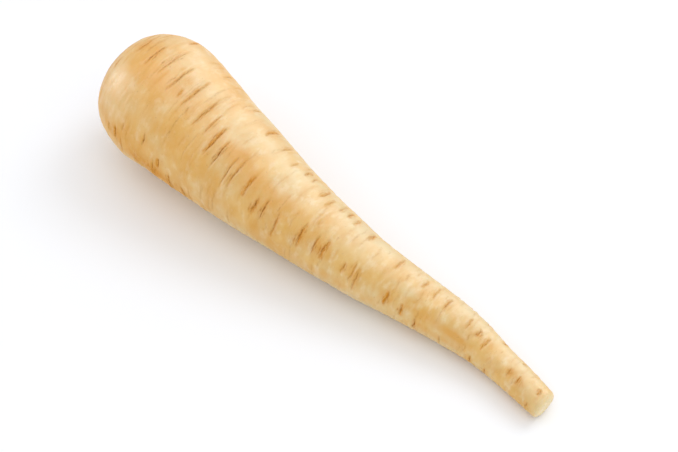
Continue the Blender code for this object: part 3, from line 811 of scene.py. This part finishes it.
pith_map = np.concatenate([np.zeros(STALK_ROWS), [0.3, 0.8, 1, 1, 1]])[:, None] + np.zeros((1, STALK_COLUMNS))
stalks = [closed_mesh(f"stalk_{index}", stand_in_crown(stalk_rings(index)), {"ring": pith_map})
          for index in range(STALK_COUNT)]
with bpy.context.temp_override(active_object=stalks[0], selected_editable_objects=stalks,
                               selected_objects=stalks):
    bpy.ops.object.join()
stalk_ends = stalks[0]
stalk_ends.name = "leaf_stalk_ends"

# %% [markdown]
# ## Dry cork and cut stalks
#
# Both are dead and dry, so neither shines. The cork is brown in patches of about 2 mm, with paler threads of
# half a millimetre, and carries painted shade, darkest where its rings and sheaths sink in. A cut stalk is
# fibrous, paler on the cut, and browner again where the pith has sunk.

# %% Materials of the stump
CORK_DARK, CORK_BROWN = linear("#643c24"), linear("#b07f5a")
CORK_THREAD, CORK_SHADE = linear("#c89a6a"), linear("#35200f")
STALK_DARK, STALK_TAN = linear("#6b4526"), linear("#a8794a")
STALK_CUT, STALK_PITH = linear("#bd9570"), linear("#7d5a3c")

cork = new_material("dry_corky_leaf_base")
patches = stretched(cork, 1.6 * MM, 2.2 * MM, 4)
threads = stretched(cork, 0.5 * MM, 0.35 * MM, 3)
ring = add(cork, "Attribute", {"attribute_name": "ring"}).outputs["Fac"]
cork_colour = coated(cork, CORK_DARK, CORK_BROWN, patches, 0.35, 0.65)
cork_colour = coated(cork, cork_colour, CORK_THREAD, threads, 0.5, 0.72, most=0.7)
# Painted shade: the cork goes darkest where its rings and sheaths sink in.
cork_colour = coated(cork, cork_colour, CORK_SHADE, ring, 0.1, -0.4, most=0.6)
cork_bump = add(cork, "Bump", {"Strength": 0.8, "Distance": 0.25 * MM}, Height=threads)
cork_shader = add(cork, "BsdfPrincipled", {"Roughness": 0.85, "IOR": 1.45}, Base_Color=cork_colour,
                  Normal=cork_bump.outputs[0])
add(cork, "OutputMaterial", Surface=cork_shader.outputs[0])

stalk_finish = new_material("cut_leaf_stalk")
fibres = stretched(stalk_finish, 0.9 * MM, 0.3 * MM, 3)
sunken = add(stalk_finish, "Attribute", {"attribute_name": "ring"}).outputs["Fac"]
stalk_colour = coated(stalk_finish, STALK_DARK, STALK_TAN, fibres, 0.35, 0.65)
stalk_colour = coated(stalk_finish, stalk_colour, STALK_CUT, sunken, 0.1, 0.6, most=0.7)
stalk_colour = coated(stalk_finish, stalk_colour, STALK_PITH, sunken, 0.8, 1.0, most=0.6)
stalk_bump = add(stalk_finish, "Bump", {"Strength": 0.6, "Distance": 0.15 * MM}, Height=fibres)
stalk_shader = add(stalk_finish, "BsdfPrincipled", {"Roughness": 0.75, "IOR": 1.45}, Base_Color=stalk_colour,
                   Normal=stalk_bump.outputs[0])
add(stalk_finish, "OutputMaterial", Surface=stalk_shader.outputs[0])

stump.data.materials.append(cork)
stalk_ends.data.materials.clear()
stalk_ends.data.materials.append(stalk_finish)
for piece in (stump, stalk_ends):
    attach(piece, "root")
    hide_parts("leaf_bases")
print("the two have", len(cork.node_tree.nodes), "and", len(stalk_finish.node_tree.nodes), "nodes")

# %% [markdown]
# ## The studio
#
# A root on a white floor is lit the way food usually is: a wide soft light high behind its far side draws
# the shadow towards the viewer, and a white room all round keeps that shadow pale. A weak light overhead
# lifts the top. Four more panels are there for their reflection alone, which rolls a soft highlight along
# the upper flank and over the end of the shoulder, as white cards beside the table would. The paper is very
# slightly cool, because the root throws some of its own warm colour on it. The camera has a long lens and
# looks down at 50 degrees.


# %% Aiming
def away(azimuth, elevation):
    """The direction from the object towards a camera or a light: azimuth 0 is at -Y, and 90 degrees at +X."""
    azimuth, elevation = math.radians(azimuth), math.radians(elevation)
    level = math.cos(elevation)
    return np.array([math.sin(azimuth) * level, -math.cos(azimuth) * level, math.sin(elevation)])


def aimed(obj, aim, direction, distance):
    """Puts a camera or a light at that distance from its aim, looking at it, with its own X kept level."""
    across = np.array([-direction[1], direction[0], 0])
    across /= np.linalg.norm(across)
    place = np.eye(4)
    place[:3, :3] = np.stack([across, np.cross(direction, across), direction], axis=1)
    place[:3, 3] = aim + direction * distance
    obj.matrix_world = Matrix(place.tolist())
    bpy.context.scene.collection.objects.link(obj)


LIGHT_AIM = np.array([0, 0, 20]) * MM


def softbox(name, azimuth, elevation, distance, width, height, watts, only_gloss=False):
    """A rectangular soft light. One that is only for gloss draws its reflection and lights nothing else."""
    data = bpy.data.lights.new(name, "AREA")
    data.shape = "RECTANGLE"
    data.size, data.size_y, data.energy = width, height, watts
    lamp = bpy.data.objects.new(name, data)
    lamp.visible_diffuse = not only_gloss
    aimed(lamp, LIGHT_AIM, away(azimuth, elevation), distance)


# %% Floor
FLOOR_HALF = 3.0  # metres, so that its edge is never seen
FLOOR_TOP = -0.05 * MM  # a hair under the root, so that no two faces share a plane
floor_mesh = bpy.data.meshes.new("floor")
floor_mesh.from_pydata([(x * FLOOR_HALF, y * FLOOR_HALF, FLOOR_TOP)
                        for x, y in ((-1, -1), (1, -1), (1, 1), (-1, 1))], [], [(0, 1, 2, 3)])
floor = bpy.data.objects.new("floor", floor_mesh)
bpy.context.scene.collection.objects.link(floor)
paper = new_material("white_paper_sweep")
paper_shader = add(paper, "BsdfPrincipled", {"Base Color": linear("#f7f9fd"), "Roughness": 0.8,
                                             "Specular IOR Level": 0.2})
add(paper, "OutputMaterial", Surface=paper_shader.outputs[0])
floor_mesh.materials.append(paper)
print("the floor is", 2 * FLOOR_HALF, "m wide")

# %% Lights and camera
ROOM_STRENGTH = 0.91
CAMERA_AIM = np.array([5.2, 4.3, 20]) * MM
CAMERA_DISTANCE = 763.2 * MM
CAMERA_AZIMUTH, CAMERA_ELEVATION = 42.42, 50
CAMERA_LENS, CAMERA_SENSOR = 100, 36  # millimetres

# Each has its azimuth, elevation, distance, width, height and watts.
softbox("key", 165, 50, 1.3, 0.6, 0.6, 3.2)
softbox("overhead", 70, 75, 1.3, 0.9, 0.9, 1.0)
softbox("sheen_behind", 187, 52, 1.3, 0.6, 0.7, 8, only_gloss=True)
softbox("sheen_low", 190, 22, 1.3, 0.9, 0.6, 8, only_gloss=True)
softbox("sheen_top", 260, 80, 1.3, 0.8, 0.8, 12, only_gloss=True)
softbox("sheen_left", -68, 14, 1.4, 0.45, 0.6, 10, only_gloss=True)

room = bpy.data.worlds.new("white_room")
room.use_nodes = True
room.node_tree.nodes["Background"].inputs["Color"].default_value = linear("#ffffff")
room.node_tree.nodes["Background"].inputs["Strength"].default_value = ROOM_STRENGTH
bpy.context.scene.world = room
bpy.context.scene.view_settings.view_transform = "Standard"

camera_data = bpy.data.cameras.new("camera")
camera_data.lens, camera_data.sensor_width = CAMERA_LENS, CAMERA_SENSOR
camera = bpy.data.objects.new("camera", camera_data)
aimed(camera, CAMERA_AIM, away(CAMERA_AZIMUTH, CAMERA_ELEVATION), CAMERA_DISTANCE)
bpy.context.scene.camera = camera
print("the camera is at", (np.array(camera.location) / MM).round(), "mm")

# %% [markdown]
# ## The last step
#
# Everything that was added was held inside its solid's box as it was made, so all that is left is to bring
# the scene up to date. The finished model has to fill the same box as the solids.

# %% Finish
bpy.context.view_layer.update()
